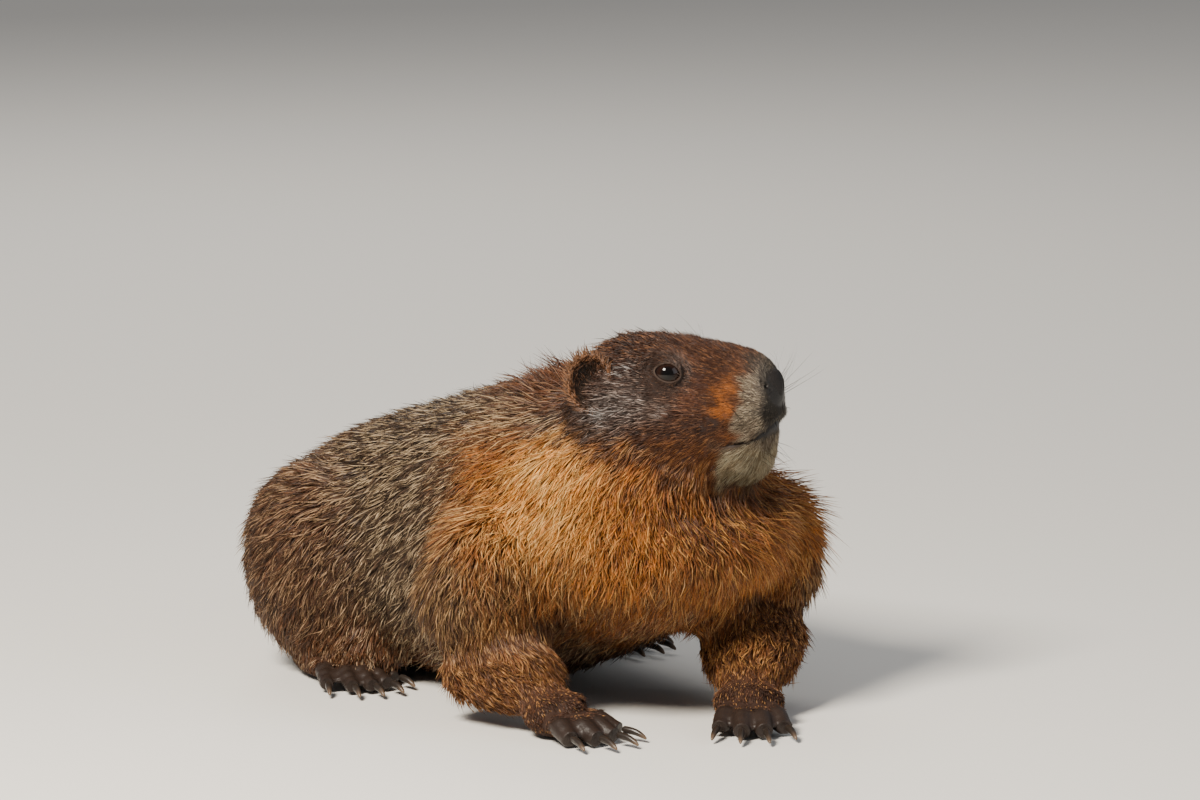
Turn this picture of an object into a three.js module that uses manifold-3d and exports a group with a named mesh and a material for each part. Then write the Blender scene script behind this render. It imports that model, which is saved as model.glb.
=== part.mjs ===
// A yellow-bellied marmot at life size, lying on its belly with its chest raised on its
// forelegs and its head turned to its left. Millimetres, +Z up; it faces -Y and +X is its
// left side. The solids reach out to the tips of the coat.
import * as THREE from "three";
import { mergeVertices } from "three/addons/utils/BufferGeometryUtils.js";
import Module from "manifold-3d";

// Driving dimensions
const GAP = 0.3; // between neighbouring pieces
const RUMP_END = 158; // how far the rump reaches behind the middle
const CHEST_END = 141; // how far the chest reaches ahead of it
const HIP_SHIFT = 4; // the hind legs follow the bow of the back
const SPINE_BEND = 9; // the middle of the back is bowed to the left by this much
const HEAD_AT = new THREE.Vector3(-8, -69, 153); // the point between the two ears
const HEAD_TURN = THREE.MathUtils.degToRad(36); // to the left of straight ahead
const SKULL_BACK = 17; // behind the ears
const NOSE_REACH = 82; // from the ears to the tip of the nose
const EYE_RADIUS = 6.4;
const EYE_FORWARD = 34.5; // from the ears
const EYE_SIDE = 23.5; // from the middle of the head
const EYE_RISE = 5.6; // above the ears' middle
const EAR_WIDTH = 22;
const EAR_HEIGHT = 27;
const EAR_THICKNESS = 3.4;
const EAR_HOLLOW = 5;
const EAR_SIDE = 31;
const EAR_RISE = { right: 0.5, left: -3 }; // the left ear is held lower
const EAR_AHEAD = 1; // of the line between the ears
const EAR_TURN = THREE.MathUtils.degToRad(62); // from facing forwards to facing outwards
const EAR_LEAN = THREE.MathUtils.degToRad(-10);
const NOSE_WIDTH = 25;
const NOSE_HEIGHT = 19;
const NOSE_DEPTH = 16;
const NOSE_INSET = 5.8; // the pad's middle lies behind the tip of the snout
const NOSE_DROP = 3; // and below the ears' middle
const JAW_GAP = 0.6; // the closed mouth
const TAIL_RADIUS = 24;
const TOE_RADIUS = 4.9;
const TOE_SPREAD = 1.12; // the toes stand wider apart at their tips
const HIND_FOOT_OUT = 7; // the hind foot lies outside its shank's end
const HIND_FOOT_BACK = 2; // and behind it
const CLAW_RADIUS = 1.9;
const FORE_CLAW = 15; // length
const HIND_CLAW = 12;

const wasm = await Module();
wasm.setup();

const at = (x, y, z) => new THREE.Vector3(x, y, z);

// Solids and meshes

// A closed geometry as a solid that can be joined and cut
function solid(geometry) {
  geometry.deleteAttribute("normal");
  geometry.deleteAttribute("uv");
  const merged = mergeVertices(geometry, 1e-4);
  return new wasm.Manifold(
    new wasm.Mesh({
      numProp: 3,
      vertProperties: new Float32Array(merged.attributes.position.array),
      triVerts: new Uint32Array(merged.index.array),
    }),
  );
}

// The biggest body that a cut leaves, so that no sliver stays behind
function biggest(made) {
  return made.decompose().sort((a, b) => b.volume() - a.volume())[0];
}

function cut(made, ...others) {
  return biggest(others.reduce((left, other) => left.subtract(other), made));
}

function join(...pieces) {
  return pieces.reduce((sum, piece) => sum.add(piece));
}

function box(size, centre, turn = 0) {
  const geometry = new THREE.BoxGeometry(size.x, size.y, size.z);
  geometry.rotateX(turn);
  geometry.translate(centre.x, centre.y, centre.z);
  return solid(geometry);
}

// A value that runs smoothly through stations, each of which names its place as "at"
function smooth(stations, key, where) {
  const last = stations.length - 1;
  const here = THREE.MathUtils.clamp(where, stations[0].at, stations[last].at);
  let i = 0;
  while (i < last - 1 && here > stations[i + 1].at) i += 1;
  const slope = (k) => {
    const before = stations[Math.max(k - 1, 0)];
    const after = stations[Math.min(k + 1, last)];
    return (after[key] - before[key]) / (after.at - before.at);
  };
  const span = stations[i + 1].at - stations[i].at;
  const t = (here - stations[i].at) / span;
  const rise = stations[i + 1][key] - stations[i][key];
  const start = stations[i][key] * (1 - t) + stations[i + 1][key] * t;
  const bend = (1 - t) * (slope(i) * span - rise) - t * (slope(i + 1) * span - rise);
  return start + t * (1 - t) * bend;
}

// The share of its full size that a body has near a rounded end
function rounded(fromEnd, length) {
  const short = THREE.MathUtils.clamp(1 - fromEnd / length, 0, 1);
  return Math.sqrt(1 - short * short);
}

// A closed body: a ball whose rings become the sections that sectionAt gives, from 0 to 1.
// A section has a middle, a side and an up direction, and its half sizes.
function bodyOf(sectionAt, around, along) {
  const ball = new THREE.SphereGeometry(1, around, along);
  const point = ball.attributes.position;
  const polar = new THREE.Vector3();
  for (let i = 0; i < point.count; i += 1) {
    polar.fromBufferAttribute(point, i);
    const section = sectionAt((1 - polar.y) / 2);
    const ring = Math.hypot(polar.x, polar.z);
    const across = ring > 1e-6 ? polar.x / ring : 0;
    const above = ring > 1e-6 ? -polar.z / ring : 0;
    const power = 2 / section.square;
    const sideways = Math.sign(across) * Math.abs(across) ** power * section.half;
    const height = above > 0 ? section.over : section.under;
    const upward = Math.sign(above) * Math.abs(above) ** power * height;
    polar
      .copy(section.middle)
      .addScaledVector(section.side, sideways)
      .addScaledVector(section.up, upward);
    point.setXYZ(i, polar.x, polar.y, polar.z);
  }
  return solid(ball);
}

// A body whose upright sections follow the Y axis, from stations that give its
// half width, top, bottom and the height at which it is widest
function uprightBody(stations, ends, counts, grow, sideShift = () => 0) {
  const from = stations[0].at;
  const to = stations[stations.length - 1].at;
  return bodyOf(
    (t) => {
      const y = from + (to - from) * t;
      const end = rounded(y - from, ends.first) * rounded(to - y, ends.last);
      const wide = smooth(stations, "wide", y);
      return {
        middle: at(sideShift(y), y + grow * (2 * t - 1), wide),
        side: at(1, 0, 0),
        up: at(0, 0, 1),
        half: end * (smooth(stations, "half", y) + grow),
        over: end * (smooth(stations, "top", y) - wide + grow),
        under: end * (wide - smooth(stations, "bottom", y) + grow),
        square: smooth(stations, "square", y),
      };
    },
    counts.around,
    counts.along,
  );
}

// A limb: a round or flattened body along a smooth line through a few joints. Its
// sections stand square to the line, and "above" says which way their tops face.
function limb(joints, radii, shape, grow = 0) {
  const { around, rings, flat = 1, round = 0.16, above = at(0, 0, 1) } = shape;
  const line = new THREE.CatmullRomCurve3(joints, false, "centripetal");
  const stations = radii.map((r, i) => ({ at: i / (radii.length - 1), r }));
  return bodyOf(
    (t) => {
      const along = line.getTangent(t);
      const side = along.clone().cross(above).normalize();
      const up = side.clone().cross(along).normalize();
      const end = rounded(t, round) * rounded(1 - t, round);
      const r = end * (smooth(stations, "r", t) + grow);
      return {
        middle: line.getPoint(t).addScaledVector(along, grow * (2 * t - 1)),
        side,
        up,
        half: r,
        over: r * flat,
        under: r * flat,
        square: 2.2,
      };
    },
    around,
    rings,
  );
}

// The floor's own side, which flattens whatever rests on it
const below = box(at(900, 900, 60), at(0, 0, -30));

// Trunk: from the rump to the chest, flat where the belly lies

function trunk(grow = 0) {
  const bow = (y) => SPINE_BEND * Math.cos((Math.PI * (y - 9)) / (RUMP_END + CHEST_END));
  return uprightBody(
    [
      { at: -CHEST_END, half: 50, top: 98, bottom: 56, wide: 80, square: 2 },
      { at: -112, half: 62, top: 112, bottom: 42, wide: 79, square: 2.1 },
      { at: -78, half: 70, top: 129, bottom: 31, wide: 75, square: 2.15 },
      { at: -30, half: 77, top: 148, bottom: 9, wide: 66, square: 2.2 },
      { at: 15, half: 81, top: 139, bottom: -2, wide: 57, square: 2.25 },
      { at: 65, half: 80, top: 124, bottom: -2, wide: 51, square: 2.25 },
      { at: 110, half: 74, top: 109, bottom: -1, wide: 48, square: 2.2 },
      { at: RUMP_END, half: 55, top: 85, bottom: 4, wide: 43, square: 2.1 },
    ],
    { first: 44, last: 50 },
    { around: 24, along: 16 },
    grow,
    bow,
  );
}

// Neck: short, thick and upright, one with the trunk's form. A rounded cut below the
// head parts the two.

function throat(grow = 0) {
  const joints = [at(4, -48, 80), at(2, -72, 112), at(0, -81, 144)];
  return limb(joints, [60, 57, 42], { around: 18, rings: 8, round: 0.3 }, grow);
}

function collar(grow = 0) {
  const half = at(80, 62, 72);
  const ball = new THREE.SphereGeometry(1, 20, 12);
  ball.scale(half.x + grow, half.y + grow, half.z + grow);
  const centre = at(2, -85, 150);
  ball.translate(centre.x, centre.y, centre.z);
  return solid(ball);
}

// Head: sections along the line from the back of the skull to the nose, in a frame of its
// own that stands between the ears and is turned to the left

function intoHead(piece) {
  const degrees = THREE.MathUtils.radToDeg(HEAD_TURN);
  return piece.rotate([0, 0, degrees]).translate([HEAD_AT.x, HEAD_AT.y, HEAD_AT.z]);
}

function headWhole(grow = 0) {
  return uprightBody(
    [
      { at: -NOSE_REACH, half: 13.5, top: 3, bottom: -21, wide: -8, square: 2.2 },
      { at: -78, half: 17, top: 8, bottom: -31, wide: -11, square: 2.2 },
      { at: -71, half: 20.5, top: 12.5, bottom: -43, wide: -15, square: 2.2 },
      { at: -62, half: 22.5, top: 15.4, bottom: -50, wide: -17, square: 2.2 },
      { at: -50, half: 26, top: 17.2, bottom: -56, wide: -20, square: 2.15 },
      { at: -38, half: 33, top: 19, bottom: -59, wide: -22, square: 2.1 },
      { at: -20, half: 39, top: 20.4, bottom: -60, wide: -24, square: 2.1 },
      { at: -4, half: 39.5, top: 17, bottom: -58, wide: -22, square: 2.1 },
      { at: SKULL_BACK, half: 33, top: 6, bottom: -44, wide: -20, square: 2 },
    ],
    { first: 8, last: 22 },
    { around: 24, along: 21 },
    grow,
  );
}

// The mouth is a slanting cut that rises forwards from its corners
const MOUTH_CORNER = at(0, -59, -31);
const MOUTH_RISE = THREE.MathUtils.degToRad(33);

function jawSpace(grow) {
  const depth = 60;
  const width = 80;
  const reach = 46;
  const space = box(
    at(width, reach + grow, depth),
    at(0, -reach / 2 + grow / 2, -depth / 2 + grow),
    -MOUTH_RISE,
  );
  return space.translate([MOUTH_CORNER.x, MOUTH_CORNER.y, MOUTH_CORNER.z]);
}

function eyeBall(side, grow = 0) {
  const ball = new THREE.SphereGeometry(EYE_RADIUS + grow, 12, 8);
  ball.rotateZ(Math.PI / 2);
  ball.translate(side * EYE_SIDE, -EYE_FORWARD, EYE_RISE);
  return solid(ball);
}

// The nose pad is a low cushion with a nostril pressed into each side
function nosePad(grow = 0) {
  const pad = new THREE.SphereGeometry(1, 12, 8);
  const point = pad.attributes.position;
  const nostril = at(0.78, -0.58, 0.15);
  const spread = 0.42;
  const dent = 0.22;
  const v = new THREE.Vector3();
  for (let i = 0; i < point.count; i += 1) {
    v.fromBufferAttribute(point, i);
    const near = Math.hypot(Math.abs(v.x) - nostril.x, v.y - nostril.y, v.z - nostril.z);
    v.multiplyScalar(1 - (grow ? 0 : dent) * Math.exp(-((near / spread) ** 2)));
    const narrow = 0.82 + 0.18 * v.z;
    point.setXYZ(
      i,
      v.x * narrow * (NOSE_WIDTH / 2 + grow),
      v.y * (NOSE_DEPTH / 2 + grow),
      v.z * (NOSE_HEIGHT / 2 + grow),
    );
  }
  pad.translate(0, NOSE_INSET - NOSE_REACH, -NOSE_DROP);
  return solid(pad);
}

// The ear is a round shallow bowl that opens outwards and forwards
function ear(side) {
  const bowl = new THREE.SphereGeometry(1, 14, 6);
  bowl.rotateX(Math.PI / 2);
  const point = bowl.attributes.position;
  for (let i = 0; i < point.count; i += 1) {
    const across = point.getX(i);
    const high = point.getY(i);
    const out = point.getZ(i);
    const dish = EAR_HOLLOW * Math.max(0, 1 - across * across - high * high);
    point.setXYZ(
      i,
      (across * EAR_WIDTH) / 2,
      (high * EAR_HEIGHT) / 2,
      (out * EAR_THICKNESS) / 2 - dish,
    );
  }
  bowl.rotateX(Math.PI / 2);
  bowl.rotateX(EAR_LEAN);
  bowl.rotateZ(side * EAR_TURN);
  bowl.translate(side * EAR_SIDE, -EAR_AHEAD, side > 0 ? EAR_RISE.left : EAR_RISE.right);
  return solid(bowl);
}

// Tail: bushy, laid on the floor and curled round to the left

function tail(grow = 0) {
  const joints = [
    at(0, 128, 34),
    at(14, 168, 24),
    at(50, 190, 22),
    at(92, 180, 20),
    at(122, 150, 18),
  ];
  const radii = [20, TAIL_RADIUS, TAIL_RADIUS + 1, TAIL_RADIUS - 1, 15];
  return limb(joints, radii, { around: 12, rings: 10, flat: 0.92, round: 0.2 }, grow);
}

// Legs

// Each foreleg: shoulder, elbow, wrist, the way the foot points and the foot's rise
const FORELEGS = {
  right: {
    sign: -1,
    shoulder: at(-44, -68, 92),
    elbow: at(-66, -40, 32),
    wrist: at(-63, -90, 18),
    point: at(0.1, -1, 0).normalize(),
  },
  left: {
    sign: 1,
    shoulder: at(46, -78, 92),
    elbow: at(72, -74, 33),
    wrist: at(26, -127, 18),
    point: at(-0.57, -0.82, 0).normalize(),
  },
};

function upperArm(leg, grow = 0) {
  const middle = leg.shoulder.clone().lerp(leg.elbow, 0.5);
  middle.x += leg.sign * 8;
  const joints = [leg.shoulder, middle, leg.elbow];
  const shape = { around: 14, rings: 8, round: 0.3, above: at(0, -1, 0) };
  return limb(joints, [31, 33, 29], shape, grow);
}

function forearm(leg, grow = 0) {
  const middle = leg.elbow.clone().lerp(leg.wrist, 0.5);
  middle.z += 3;
  const joints = [leg.elbow, middle, leg.wrist.clone().addScaledVector(leg.point, 8)];
  return limb(joints, [27, 25, 18], { around: 12, rings: 8, flat: 0.95, round: 0.3 }, grow);
}

// A foot: a low pad with toes that fan out from its front, all flat underneath
function foot(build, grow = 0) {
  const { heel, point, length, width, height, toes } = build;
  const across = at(-point.y, point.x, 0);
  const along = (share, rise) =>
    heel.clone().addScaledVector(point, length * share).setZ(rise);
  const sole = limb(
    [along(-0.15, height * 0.7), along(0.25, height * 0.5), along(0.62, height * 0.38)],
    [width * 0.4, width * 0.48, width * 0.42],
    { around: 8, rings: 6, flat: 0.66, round: 0.4 },
    grow,
  );
  const fans = toes.map((toe) => {
    const root = along(0.46, 8).addScaledVector(across, toe.side * 0.82);
    const knuckle = along(0.78 * toe.reach, 8.6).addScaledVector(across, toe.side);
    const tip = along(toe.reach, 4.2).addScaledVector(across, toe.side * TOE_SPREAD);
    return limb([root, knuckle, tip], [4.6, TOE_RADIUS, 3.7], { around: 6, rings: 4 }, grow);
  });
  return { paw: join(sole, ...fans), tips: toes.map((toe) => toeTip(build, toe)) };
}

// Where a toe ends, and the way it points
function toeTip({ heel, point, length }, toe) {
  const across = at(-point.y, point.x, 0);
  const end = heel
    .clone()
    .addScaledVector(point, length * toe.reach)
    .addScaledVector(across, toe.side * TOE_SPREAD)
    .setZ(TOE_RADIUS);
  const way = point.clone().addScaledVector(across, toe.side * 0.022).normalize();
  return { end, way };
}

// A claw: thick at the root, curved down to a point just above the floor
function claw(tip, length) {
  const spot = (share, rise) =>
    tip.end.clone().addScaledVector(tip.way, length * share).setZ(rise);
  const joints = [spot(-0.1, 5), spot(0.3, 5.2), spot(0.65, 3.6), spot(0.85, 1.5)];
  const radii = [CLAW_RADIUS, CLAW_RADIUS * 1.05, CLAW_RADIUS * 0.75, CLAW_RADIUS * 0.32];
  return limb(joints, radii, { around: 5, rings: 4, flat: 1.1, round: 0.12 });
}

function forefootBuild(leg) {
  return {
    heel: leg.wrist,
    point: leg.point,
    length: 46,
    width: 36,
    height: 22,
    toes: [
      { side: -13.6, reach: 0.84 },
      { side: -4.7, reach: 1 },
      { side: 4.7, reach: 1 },
      { side: 13.6, reach: 0.84 },
    ],
  };
}

// Each hind leg: folded beside the belly, its foot flat on the floor
function hindJoints(sign) {
  return {
    hip: at(sign * 42 + HIP_SHIFT, 96, 60),
    knee: at(sign * 62 + HIP_SHIFT, 26, 42),
    heel: at(sign * 56 + HIP_SHIFT, 90, 14),
  };
}

function thigh(sign, grow = 0) {
  const { hip, knee } = hindJoints(sign);
  const back = hip.clone().add(at(sign * 2, 30, -8));
  const middle = at(sign * 55 + HIP_SHIFT, 74, 52);
  const joints = [back, middle, knee];
  return limb(joints, [36, 45, 27], { around: 16, rings: 9, flat: 1.12, round: 0.36 }, grow);
}

function shank(sign, grow = 0) {
  const { knee, heel } = hindJoints(sign);
  const start = knee.clone().add(at(sign * 2, 2, -18));
  const middle = at(sign * 64 + HIP_SHIFT, 60, 20);
  return limb([start, middle, heel], [18, 17, 12], { around: 10, rings: 7, round: 0.25 }, grow);
}

function hindfootBuild(sign) {
  const { heel } = hindJoints(sign);
  return {
    heel: heel.clone().add(at(sign * HIND_FOOT_OUT, HIND_FOOT_BACK, 0)),
    point: at(sign * 0.2, -1, 0).normalize(),
    length: 76,
    width: 34,
    height: 19,
    toes: [
      { side: -16, reach: 0.84 },
      { side: -8.2, reach: 0.97 },
      { side: 0, reach: 1 },
      { side: 8.2, reach: 0.97 },
      { side: 16, reach: 0.84 },
    ],
  };
}

// Finishes

const finish = (color, roughness) =>
  new THREE.MeshStandardMaterial({ color, roughness, metalness: 0 });
const COAT_BACK = finish(0x6f5843, 0.9);
const COAT_NECK = finish(0xc98a45, 0.9);
const COAT_HEAD = finish(0x4a3126, 0.9);
const COAT_MUZZLE = finish(0xa3937c, 0.9);
const COAT_LEG = finish(0x8a4f28, 0.9);
const COAT_RUMP = finish(0x7a4a2c, 0.9);
const BARE_NOSE = finish(0x1b1715, 0.4);
const EYE = finish(0x120b08, 0.1);
const HORN = finish(0x2a2220, 0.35);

const marmot = new THREE.Group();

function place(name, made, material) {
  const { vertProperties, triVerts } = made.getMesh();
  const geometry = new THREE.BufferGeometry();
  geometry.setAttribute("position", new THREE.BufferAttribute(vertProperties, 3));
  geometry.setIndex(new THREE.BufferAttribute(triVerts, 1));
  geometry.computeVertexNormals();
  const mesh = new THREE.Mesh(geometry, material);
  mesh.name = name;
  marmot.add(mesh);
}

// Assembly: what lies deeper in the body keeps its shape, and what lies on it is cut to fit

const body = join(trunk(), throat());
const grownBody = join(trunk(GAP), throat(GAP));
const grownHead = intoHead(headWhole(GAP));
place("trunk", cut(body, below, grownHead, collar(GAP)), COAT_BACK);
place("neck", cut(body.intersect(collar()), grownHead), COAT_NECK);

const sockets = [1, -1].map((side) => eyeBall(side, GAP));
const jaw = biggest(headWhole().intersect(jawSpace(0)));
const skull = cut(headWhole(), jawSpace(JAW_GAP), nosePad(GAP), ...sockets);
place("head", intoHead(skull), COAT_HEAD);
place("lower_jaw", intoHead(cut(jaw, nosePad(GAP))), COAT_MUZZLE);
place("nose", intoHead(nosePad()), BARE_NOSE);
for (const [name, side] of [["left", 1], ["right", -1]]) {
  place(`eye_${name}`, intoHead(eyeBall(side)), EYE);
  const outer = intoHead(ear(side));
  place(`ear_${name}`, cut(outer, grownHead, grownBody), COAT_HEAD);
}

place("tail", cut(tail(), grownBody, below), COAT_RUMP);

for (const [name, leg] of Object.entries(FORELEGS)) {
  const build = forefootBuild(leg);
  const bodyCuts = [grownBody, grownHead, below];
  const { paw, tips } = foot(build);
  place(`upper_arm_${name}`, cut(upperArm(leg), ...bodyCuts), COAT_LEG);
  place(`forearm_${name}`, cut(forearm(leg), upperArm(leg, GAP), ...bodyCuts), COAT_LEG);
  const armCuts = [forearm(leg, GAP), upperArm(leg, GAP)];
  place(`forefoot_${name}`, cut(paw, ...armCuts, ...bodyCuts), COAT_LEG);
  const grownFoot = foot(build, GAP).paw;
  tips.forEach((tip, i) =>
    place(`claw_fore_${name}_${i + 1}`, cut(claw(tip, FORE_CLAW), grownFoot, below), HORN),
  );
}

for (const [name, sign] of [["left", 1], ["right", -1]]) {
  const build = hindfootBuild(sign);
  const bodyCuts = [grownBody, tail(GAP), below];
  const { paw, tips } = foot(build);
  place(`thigh_${name}`, cut(thigh(sign), ...bodyCuts), COAT_RUMP);
  place(`shank_${name}`, cut(shank(sign), thigh(sign, GAP), ...bodyCuts), COAT_RUMP);
  const legCuts = [shank(sign, GAP), thigh(sign, GAP)];
  place(`hindfoot_${name}`, cut(paw, ...legCuts, ...bodyCuts), COAT_LEG);
  const grownFoot = foot(build, GAP).paw;
  const clawCuts = [grownFoot, grownBody, below];
  tips.forEach((tip, i) =>
    place(`claw_hind_${name}_${i + 1}`, cut(claw(tip, HIND_CLAW), ...clawCuts), HORN),
  );
}

// The origin is on the floor, under the middle of the model's box
const middle = new THREE.Box3().setFromObject(marmot).getCenter(at(0, 0, 0));
marmot.position.set(-middle.x, -middle.y, 0);

export default marmot;
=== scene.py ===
import math

import bmesh
import bpy
import numpy as np
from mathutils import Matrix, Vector
from mathutils.bvhtree import BVHTree


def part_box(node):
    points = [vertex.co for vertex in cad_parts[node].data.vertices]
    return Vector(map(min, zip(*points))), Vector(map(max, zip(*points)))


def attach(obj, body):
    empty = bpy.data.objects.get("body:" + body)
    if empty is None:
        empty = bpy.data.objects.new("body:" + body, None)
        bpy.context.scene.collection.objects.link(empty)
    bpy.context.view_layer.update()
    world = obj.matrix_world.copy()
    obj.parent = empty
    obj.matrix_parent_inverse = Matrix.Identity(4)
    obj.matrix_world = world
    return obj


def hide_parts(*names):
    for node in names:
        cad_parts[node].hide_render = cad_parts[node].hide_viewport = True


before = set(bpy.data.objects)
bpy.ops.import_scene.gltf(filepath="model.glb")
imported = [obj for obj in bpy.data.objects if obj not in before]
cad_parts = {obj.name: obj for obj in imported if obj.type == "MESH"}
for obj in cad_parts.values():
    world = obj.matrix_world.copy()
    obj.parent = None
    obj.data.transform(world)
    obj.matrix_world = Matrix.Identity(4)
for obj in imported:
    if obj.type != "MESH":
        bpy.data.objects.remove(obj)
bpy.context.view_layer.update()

# Skin: the marmot's hide, one unbroken surface from nose to tail under the fur. It lies
# below the tips of the coat by the fur's depth there, and is bare on the lids, the lips
# and the toes. All sizes are in millimetres until a mesh is made.
MM = 0.001
CELL = 2.6  # the skin's own mesh, finer on the head and paws
EYE_FORWARD = 34.5  # of the point between the ears
EYE_RISE = 5.6
PARTS = {  # depth of the fur from skin to tips, and rounds that smooth the facets away
    "trunk": (5.0, 30),
    "neck": (5.2, 23),
    "head": (2.6, 7),
    "lower_jaw": (1.3, 4),
    "tail": (11.0, 14),
    "upper_arm": (4.6, 20),
    "forearm": (3.2, 11),
    "forefoot": (0.5, 6),
    "thigh": (5.0, 30),
    "shank": (3.6, 11),
    "hindfoot": (0.5, 4),
}
FLOOR_GAP = 0.4  # between the floor and the lowest of the skin
rng = np.random.default_rng(7)


def middle_of(node):
    low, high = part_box(node)
    return np.array((low + high) / 2) / MM


def unit(v):
    return v / np.maximum(np.linalg.norm(v, axis=-1, keepdims=True), 1e-9)


def size_of(v):
    return np.linalg.norm(v, axis=-1)


def ramp(value, start, end):
    t = np.clip((value - start) / (end - start), 0, 1)
    return t * t * (3 - 2 * t)


def hill(value, centre, width):
    return np.exp(-(((value - centre) / width) ** 2))


def mix(a, b, t):
    return a + (b - a) * t


def ripple(where, size, seed):
    """A smooth random height over space that rises and falls over about that size."""
    waves = np.random.default_rng(seed)
    total = np.zeros(len(where))
    for _ in range(14):
        way_of_wave = unit(waves.normal(size=3)) * (2 * math.pi / size) * waves.uniform(0.6, 1.5)
        total += np.sin(where @ way_of_wave + waves.uniform(0, 2 * math.pi))
    return total / math.sqrt(7)


left_eye, right_eye = middle_of("eye_left"), middle_of("eye_right")
EYE_RADIUS = (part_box("eye_left")[1].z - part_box("eye_left")[0].z) / MM / 2
UP = np.array([0.0, 0.0, 1.0])
SIDE = unit((left_eye - right_eye) * [1, 1, 0])
FORWARD = np.cross(SIDE, UP)
BETWEEN_EARS = (left_eye + right_eye) / 2 - FORWARD * EYE_FORWARD - UP * EYE_RISE
EARS_AT = np.array([-8.0, -69.0, 153.0])  # from the spot on the floor under the body
UNDER_BODY = BETWEEN_EARS - EARS_AT


def in_head(points):
    """How far forward, to the left and up a point is from the point between the ears."""
    away = points - BETWEEN_EARS
    return away @ FORWARD, away @ SIDE, away @ UP


def off_eyes(points):
    """How far points are from the middle of the nearer eye."""
    return np.minimum(size_of(points - left_eye), size_of(points - right_eye))


SAME_SPOT = 1e-5  # metres, within which a CAD mesh's corners are one


def joined_nodes(growth):
    """Copies of CAD nodes in one mesh, each grown outwards by its own measure."""
    together = bmesh.new()
    for node, by in growth.items():
        shape = bmesh.new()
        shape.from_mesh(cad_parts[node].data)
        bmesh.ops.remove_doubles(shape, verts=shape.verts, dist=SAME_SPOT)
        shape.normal_update()
        for v in shape.verts:
            v.co += v.normal * by * MM
        lump = bpy.data.meshes.new("lump")
        shape.to_mesh(lump)
        shape.free()
        together.from_mesh(lump)
        bpy.data.meshes.remove(lump)
    data = bpy.data.meshes.new("joined")
    together.to_mesh(data)
    together.free()
    return data


def placed(name, data):
    made = bpy.data.objects.new(name, data)
    bpy.context.scene.collection.objects.link(made)
    return made


def modified(data, kind, **settings):
    """The mesh that a modifier makes of another."""
    holder = placed("holder", data)
    modifier = holder.modifiers.new("modifier", kind)
    for key, value in settings.items():
        setattr(modifier, key, value)
    drawn = holder.evaluated_get(bpy.context.evaluated_depsgraph_get())
    result = bpy.data.meshes.new_from_object(drawn)
    bpy.data.objects.remove(holder)
    return result


def kind_of(node):
    return node.removesuffix("_left").removesuffix("_right")


flesh = [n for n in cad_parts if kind_of(n) in PARTS]
CLOSE_GAPS = 0.5
growth = {node: CLOSE_GAPS for node in flesh}
growth.update({node: -CLOSE_GAPS for node in ("nose", "eye_left", "eye_right")})
made = modified(joined_nodes(growth), "REMESH", mode="VOXEL", voxel_size=CELL * MM)


def read(mesh):
    """A mesh's points, its edges and how many edges meet at each point."""
    points = np.empty(len(mesh.vertices) * 3)
    mesh.vertices.foreach_get("co", points)
    links = np.empty(len(mesh.edges) * 2, np.int64)
    mesh.edges.foreach_get("vertices", links)
    degree = np.maximum(np.bincount(links, minlength=len(mesh.vertices)), 1)
    return points.reshape(-1, 3) / MM, links.reshape(-1, 2), degree


def write(mesh, points):
    mesh.vertices.foreach_set("co", (points * MM).ravel())
    mesh.update()


def facing_of(mesh, links, degree, rounds=0):
    facing = np.empty(len(mesh.vertices) * 3)
    mesh.vertices.foreach_get("normal", facing)
    facing = facing.reshape(-1, 3)
    for _ in range(rounds):
        facing = unit(neighbour_mean(facing, links, degree))
    return facing


def neighbour_mean(values, links, degree):
    total = np.empty_like(values)
    for k in range(values.shape[1]):
        total[:, k] = np.bincount(links[:, 0], values[links[:, 1], k], len(values))
        total[:, k] += np.bincount(links[:, 1], values[links[:, 0], k], len(values))
    return total / degree[:, None]


points, links, degree = read(made)


def eased(points, pull):
    """Points drawn towards the middle of their neighbours, each by its own share."""
    return points + pull[:, None] * (neighbour_mean(points, links, degree) - points)


REACH = 30.0  # beyond which one part has no say over another's skin
BLEND = 6.0
share = np.full((len(points), len(flesh)), 1e-6)
for column, node in enumerate(flesh):
    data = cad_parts[node].data
    tree = BVHTree.FromPolygons(
        [v.co for v in data.vertices], [p.vertices for p in data.polygons]
    )
    low, high = (np.array(corner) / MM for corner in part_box(node))
    near = np.all((points > low - REACH) & (points < high + REACH), axis=1)
    for index in np.flatnonzero(near):
        gap = tree.find_nearest(Vector(points[index] * MM))[3] / MM
        share[index, column] += math.exp(-((gap / BLEND) ** 2))
share /= share.sum(axis=1, keepdims=True)


def by_part(table, column):
    """A column of a table of parts, blended where one part meets the next."""
    return share @ np.array([float(table[kind_of(node)][column]) for node in flesh])


def on_parts(*kinds):
    """How far each point is on these parts, from 0 to 1."""
    return share @ np.array([float(kind_of(node) in kinds) for node in flesh])


passes = by_part(PARTS, 1)
for step in range(int(passes.max()) + 1):
    points = eased(points, 0.5 * np.clip(passes - step, 0, 1))

on_head = on_parts("head", "lower_jaw")
forward, side, rise = in_head(points)
by_eye = off_eyes(points)
face_depth = 3.4 - 2.4 * ramp(forward, 20, 66)
face_depth += 1.8 * ramp(-rise, 20, 52) * ramp(forward, 50, 20)
face_depth = mix(0.9, face_depth, ramp(by_eye, 9, 18))
depth = mix(by_part(PARTS, 0), face_depth, on_head)
depth *= 1 - 0.65 * ramp(points[:, 2], 9, 1)
SINK_STEPS = 5
for step in range(SINK_STEPS):
    write(made, points)
    facing = facing_of(made, links, degree, 5)
    points -= facing * (depth / SINK_STEPS)[:, None]
    points = eased(points, 0.3 * np.clip(passes / 20, 0, 1))
points[:, 2] = np.maximum(points[:, 2], FLOOR_GAP)
write(made, points)

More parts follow.
